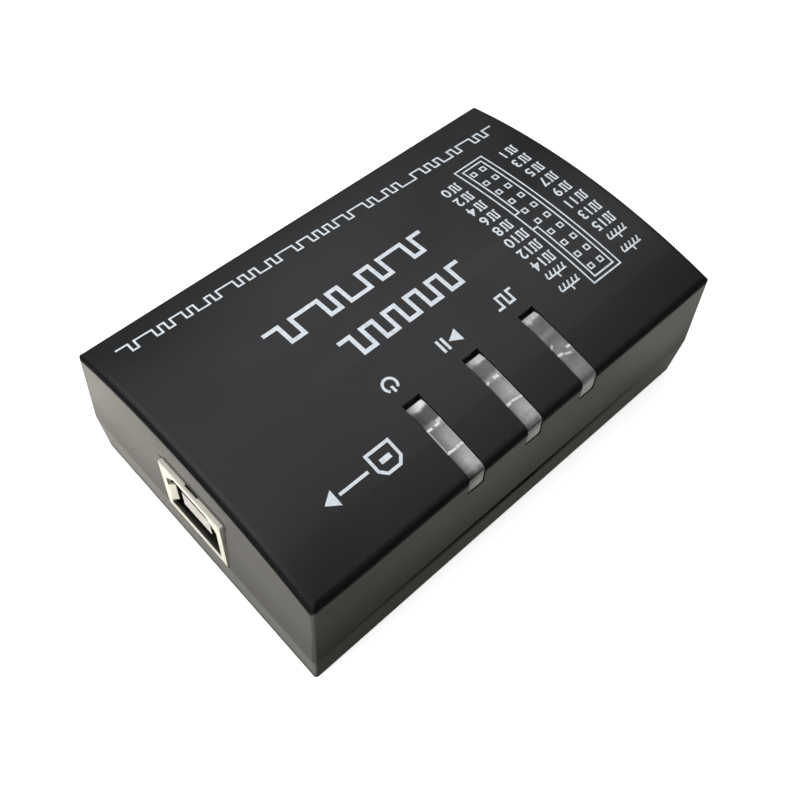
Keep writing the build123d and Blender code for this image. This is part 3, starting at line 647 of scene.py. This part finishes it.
def digits(text, height, bold):
    """The outlines of a plain number, centred, with digits as tall as height."""
    curve = bpy.data.curves.new("digits", "FONT")
    curve.body = text
    curve.size = height / FONT_HEIGHT
    curve.resolution_u = 6
    curve.offset = bold
    holder = bpy.data.objects.new("digits", curve)
    bpy.context.scene.collection.objects.link(holder)
    bpy.context.view_layer.update()
    mesh = holder.evaluated_get(bpy.context.evaluated_depsgraph_get()).to_mesh()
    polygons = [[tuple(mesh.vertices[i].co[:2]) for i in face.vertices] for face in mesh.polygons]
    bpy.data.objects.remove(holder)
    bpy.data.curves.remove(curve)
    us, vs = zip(*(point for polygon in polygons for point in polygon))
    u_middle, v_middle = (min(us) + max(us)) / 2, (min(vs) + max(vs)) / 2
    return [[(u - u_middle, v - v_middle) for u, v in polygon] for polygon in polygons]


def pulse_sign(width, height, weight):
    """Two square pulses, drawn upright about their centre."""
    w, h = width / 2, height / 2
    turns = [(-1.0, -h), (-0.62, -h), (-0.62, h), (0.0, h), (0.0, -h), (0.62, -h), (0.62, h), (1.0, h)]
    return ribbon([(share * w, level) for share, level in turns], weight)


def ground_sign(width, height, weight):
    """The symbol of a grounded frame, a bar with strokes below it, drawn upright about its centre."""
    w, h = width / 2, height / 2
    bar = h * 0.1
    shapes = ribbon([(0, h), (0, bar + weight / 2)], weight)
    shapes += ribbon([(-w, bar), (w, bar)], weight)
    for i in range(5):
        x = -w * 0.78 + i * w * 0.445
        shapes += ribbon([(x, bar - weight / 2), (x - w * 0.2, -h)], weight)
    return shapes


def pin_map():
    """The plan of the probe header: its double outline, the key gap and twenty square pins."""
    outer_line, inner_line, pin_line = 0.24, 0.25, 0.22
    left, near, right, far = 22.1, -12.7, 25.8, 12.15
    outer_left, key_near, key_far = 21.2, -2.1, 1.3
    shapes = ribbon(rectangle(outer_left, -13.4, 26.6, 12.9), outer_line, True)
    lip = outer_left + outer_line / 2
    shapes += ribbon([(lip, key_far), (left, key_far), (left, far), (right, far), (right, near), (left, near),
                      (left, key_near), (lip, key_near)], inner_line)
    first, pitch, half = 10.78, 2.447, 0.36
    for i in range(10):
        y = first - pitch * i
        for x in (22.94, 24.77):
            shapes += ribbon(rectangle(x - half, y - half, x + half, y + half), pin_line, True)
    return shapes


def channel_numbers():
    """The channel number beside each pin, and the ground symbol beside the last four."""
    rows, channels_per_column = 10, 8
    height, weight = 1.62, 0.25
    shapes = []
    for odd, x, first, last in ((1, 30.1, 10.8, -12.5), (0, 18.4, 10.7, -11.6)):
        for i in range(rows):
            y = first + (last - first) * i / (rows - 1)
            if i < channels_per_column:
                number = 2 * i + odd
                half_number = 0.95 if number > 9 else 0.5
                shapes += turned(pulse_sign(1.7, 1.45, weight), x + half_number + 0.15, y)
                shapes += turned(digits(str(number), height, 0.04), x - 1.05, y)
            else:
                shapes += turned(ground_sign(3.5, 1.65, weight), x, y)
    return shapes


def status_signs():
    """Signs for power, running and status, above the light pipes."""
    row = -7.7
    power = ribbon(arc(0, -0.08, 0.95, 128, 412), 0.38) + ribbon([(0, 0.15), (0, 1.1)], 0.38)
    run = [[(-1.7, 1.0), (-1.7, -1.0), (0.1, 0)]]
    run += ribbon([(0.65, 1.0), (0.65, -1.0)], 0.42) + ribbon([(1.45, 1.0), (1.45, -1.0)], 0.42)
    wave = [(-1.95, -0.85), (-1.1, -0.85), (-1.1, 0.85), (-0.15, 0.85), (-0.15, -0.85), (0.85, -0.85),
            (0.85, 0.85), (1.85, 0.85)]
    return turned(power, -10.35, row) + turned(run, -0.3, row) + turned(ribbon(wave, 0.36), 9.7, row)


def title_waves():
    """Two bold rows of a square wave where the case carries its title."""
    height, weight = 3.0, 0.62
    clock = square_wave((9.4, -0.7), (-11.4, -0.7), height, weight, [1.0] * 11)
    data = square_wave((9.5, 6.5), (-17.5, 6.5), height, weight,
                       [1.2, 1.0, 2.4, 1.0, 1.2, 2.0, 1.0, 1.0, 2.6, 1.2, 1.4])
    return clock + data


def input_wave():
    """A fine timing line along the far edge, where each digit is how long a level lasts."""
    levels = "211131121111231112113121111121311211113112112111312"
    return square_wave((32.7, 16.2), (-31.9, 18.5), 1.44, 0.28, [int(level) for level in levels])


def port_sign():
    """A square-shouldered port outline and an arrow into it."""
    row, weight = -14.4, 0.42
    port, shaft, head = -17.3, -22.2, -23.0
    outline = [(-1.75, -1.6), (1.75, -1.6), (1.75, 0.75), (0.95, 1.6), (-0.95, 1.6), (-1.75, 0.75)]
    shapes = turned(ribbon(outline, weight, True), port, row)
    shapes += turned(ribbon([(-0.8, 0.0), (0.8, 0.0)], 0.7), port, row)
    shapes += turned(ribbon([(-2.2, 0), (2.2, 0)], weight), shaft, row)
    shapes += turned([[(1.9, 1.15), (1.9, -1.15), (3.6, 0)]], head, row)
    return shapes


printed("print_pin_map", pin_map())
printed("print_channel_numbers", channel_numbers())
printed("print_status_signs", status_signs())
printed("print_title_waves", title_waves())
printed("print_input_wave", input_wave())
printed("print_port_sign", port_sign())


# ---------------------------------------------------------------- studio
FLOOR_HALF = 0.9  # half of the floor's side, in metres
FLOOR_GAP = 0.05  # between the floor and the object, in millimetres

# Painted light for reflections: what reflections find on the floor past the socket end and the light pipes'
# side, greys by the distance from the case, in millimetres, times greys along that wall, times a strength;
# its dark bands are painted shade. Behind the object it is plain.
END_STRENGTH, SIDE_STRENGTH, FAR_STRENGTH = 4.96, 1.36, 0.9
END_BY_DISTANCE = ((0.0, 0.44), (2.5, 0.44), (3.5, 0.0), (5.5, 0.0), (6.5, 1.0), (9.5, 1.0), (10.5, 0.38),
                   (15.0, 0.36), (18.0, 0.0))
END_ALONG = ((-23.0, 0.45), (0.0, 0.54), (12.0, 0.70), (23.0, 0.80), (32.0, 0.98))
SIDE_BY_DISTANCE = ((0.0, 0.26), (2.5, 0.26), (3.5, 0.13), (5.5, 0.13), (6.5, 0.92), (10.0, 1.0),
                    (15.0, 0.98), (18.0, 0.0))
SIDE_ALONG = ((-36.0, 0.42), (-15.0, 0.51), (0.0, 0.60), (29.0, 0.64), (38.0, 0.95))

BACKDROP_FADE = (0.02, 0.07)  # rise of a mirrored ray, over which the white backdrop gives way to the sky

# Lamps that face straight down and that the roof mirrors: x, y, width and length in metres, and power.
LAMP_HEIGHT = 0.60
LAMP_COLOUR = (0.96, 0.965, 1.0)
OVERHEAD_LAMPS = {
    "near_strip": (0.30, 0.375, 0.15, 0.90, 0.96),
    "far_strip": (-0.15, 0.375, 0.45, 0.90, 2.13),
    "window": (0.60, 0.15, 0.15, 0.15, 0.26),
    "lamp": (0.45, 0.75, 0.15, 0.15, 0.41),
    "panel": (0.30, 0.075, 0.15, 0.30, 0.36),
}
KEY_PLACE, KEY_SIZE, KEY_POWER, KEY_COLOUR = (-0.62, 0.05, 0.30), 0.4, 5.5, (1.0, 0.99, 0.97)

CAMERA_PLACE, CAMERA_TARGET = (-0.05865, -0.05389, 0.12688), (-0.00479, -0.00331, 0.02)
CAMERA_ROLL = 4.58  # degrees
CAMERA_LENS, CAMERA_SENSOR = 45.39, 36.0  # in millimetres
CAMERA_SHIFT = (0.0031, -0.0501)  # share of the picture's width


def mirrored_strength(pattern):
    """How bright each place of the floor glows in reflections: painted light, with painted shade bands near
    the walls.
    """
    x, y = pattern.axis("X"), pattern.axis("Y")
    past_end = pattern.calc("SUBTRACT", box_low.x, x)
    past_side = pattern.calc("SUBTRACT", box_low.y, y)

    def level(distance, by_distance, along, by_place, strength):
        grey = pattern.calc("MULTIPLY", pattern.greys(distance, by_distance), pattern.greys(along, by_place))
        return pattern.calc("MULTIPLY", grey, strength)

    def choose(share, where, elsewhere):
        return pattern.calc("MULTIPLY_ADD", share, pattern.calc("SUBTRACT", where, elsewhere), elsewhere)

    end = level(past_end, END_BY_DISTANCE, y, END_ALONG, END_STRENGTH)
    side = level(past_side, SIDE_BY_DISTANCE, x, SIDE_ALONG, SIDE_STRENGTH)
    near = choose(pattern.calc("GREATER_THAN", past_end, 0.0), end, side)
    past_near = pattern.calc("MAXIMUM", past_end, past_side)
    past_far = pattern.calc("MAXIMUM", pattern.calc("SUBTRACT", x, box_high.x),
                            pattern.calc("SUBTRACT", y, box_high.y))
    on_near = pattern.calc("GREATER_THAN", past_near, 0.0)
    on_far = pattern.calc("SUBTRACT", pattern.calc("GREATER_THAN", past_far, 0.0), on_near, clamp=True)
    return choose(on_far, FAR_STRENGTH, near)


def studio_floor():
    """A plain pale floor, bright to the camera, that keeps the object's shadow, and that glows with painted
    light and shade in reflections.
    """
    work = bmesh.new()
    bmesh.ops.create_grid(work, x_segments=1, y_segments=1, size=FLOOR_HALF)
    mesh = bpy.data.meshes.new("studio_floor")
    work.to_mesh(mesh)
    work.free()
    floor = bpy.data.objects.new("studio_floor", mesh)
    bpy.context.scene.collection.objects.link(floor)
    floor.location.z = (box_low.z - FLOOR_GAP) * MM
    pattern = Pattern("studio_floor")
    tree = pattern.tree
    path = put(tree, "ShaderNodeLightPath")
    paper = put(tree, "ShaderNodeBsdfDiffuse", {"Color": (0.86, 0.86, 0.85, 1.0)})
    lift = put(tree, "ShaderNodeEmission", {"Color": (1.0, 1.0, 0.99, 1.0), "Strength": 0.75})
    lit = put(tree, "ShaderNodeAddShader", {0: paper.outputs[0], 1: lift.outputs[0]})
    direct = pattern.calc("MAXIMUM", path.outputs["Is Camera Ray"], path.outputs["Is Transmission Ray"])
    seen = put(tree, "ShaderNodeMixShader", {0: direct, 1: paper.outputs[0], 2: lit.outputs[0]})
    mirrored = put(tree, "ShaderNodeEmission",
                   {"Color": (1.0, 0.965, 0.87, 1.0), "Strength": mirrored_strength(pattern)})
    both = put(tree, "ShaderNodeMixShader",
               {0: path.outputs["Is Glossy Ray"], 1: seen.outputs[0], 2: mirrored.outputs[0]})
    tree.links.new(both.outputs[0], pattern.output.inputs["Surface"])
    mesh.materials.append(pattern.material)


def studio_world():
    """A dim sky, white to the camera, through clear parts and, below the fade, in reflections."""
    world = bpy.data.worlds.new("studio")
    bpy.context.scene.world = world
    world.use_nodes = True
    tree = world.node_tree
    tree.nodes.clear()
    path = put(tree, "ShaderNodeLightPath")
    dim = put(tree, "ShaderNodeBackground", {"Color": (0.9, 0.95, 1.0, 1.0), "Strength": 0.01})
    white = put(tree, "ShaderNodeBackground", {"Color": (1.0, 1.0, 1.0, 1.0), "Strength": 1.0})
    toward = put(tree, "ShaderNodeTexCoord").outputs["Generated"]
    height = put(tree, "ShaderNodeSeparateXYZ", {0: toward}).outputs["Z"]
    backdrop = map_range(tree, height, *BACKDROP_FADE, 1.0, 0.0)
    mirrored = math_node(tree, "MULTIPLY", backdrop, path.outputs["Is Glossy Ray"])
    direct = math_node(tree, "MAXIMUM", path.outputs["Is Camera Ray"], path.outputs["Is Transmission Ray"])
    share = math_node(tree, "MAXIMUM", direct, mirrored)
    both = put(tree, "ShaderNodeMixShader", {0: share, 1: dim.outputs[0], 2: white.outputs[0]})
    put(tree, "ShaderNodeOutputWorld", {"Surface": both.outputs[0]})


def aimed(name, data, place, target, roll=0.0):
    """Puts a lamp or the camera at a place, in metres, so that it faces a target."""
    holder = bpy.data.objects.new(name, data)
    facing = (Vector(target) - Vector(place)).to_track_quat("-Z", "Y")
    holder.location = place
    holder.rotation_euler = (facing @ Quaternion((0.0, 0.0, 1.0), math.radians(roll))).to_euler()
    bpy.context.scene.collection.objects.link(holder)
    return holder


def softbox(name, place, target, width, length, power, colour):
    light = bpy.data.lights.new(name, "AREA")
    light.shape = "RECTANGLE"
    light.size = width
    light.size_y = length
    light.energy = power
    light.color = colour
    return aimed(name, light, place, target)


def studio_lamps():
    """The lamps that the roof mirrors, and a key lamp that lights the socket's end."""
    for name, (x, y, width, length, power) in OVERHEAD_LAMPS.items():
        softbox(name, (x, y, LAMP_HEIGHT), (x, y, 0.0), width, length, power, LAMP_COLOUR)
    key = softbox("key", KEY_PLACE, (0.0, 0.0, 0.0), KEY_SIZE, KEY_SIZE, KEY_POWER, KEY_COLOUR)
    key.visible_glossy = False


def photo_camera():
    """The camera at the reference view, from above the near corner by the socket."""
    camera = bpy.data.cameras.new("camera")
    camera.lens = CAMERA_LENS
    camera.sensor_width = CAMERA_SENSOR
    camera.shift_x, camera.shift_y = CAMERA_SHIFT
    camera.clip_start = 0.005
    camera.clip_end = 10.0
    bpy.context.scene.camera = aimed("camera", camera, CAMERA_PLACE, CAMERA_TARGET, CAMERA_ROLL)


studio_floor()
studio_world()
studio_lamps()
photo_camera()
bpy.context.scene.view_settings.view_transform = "Standard"
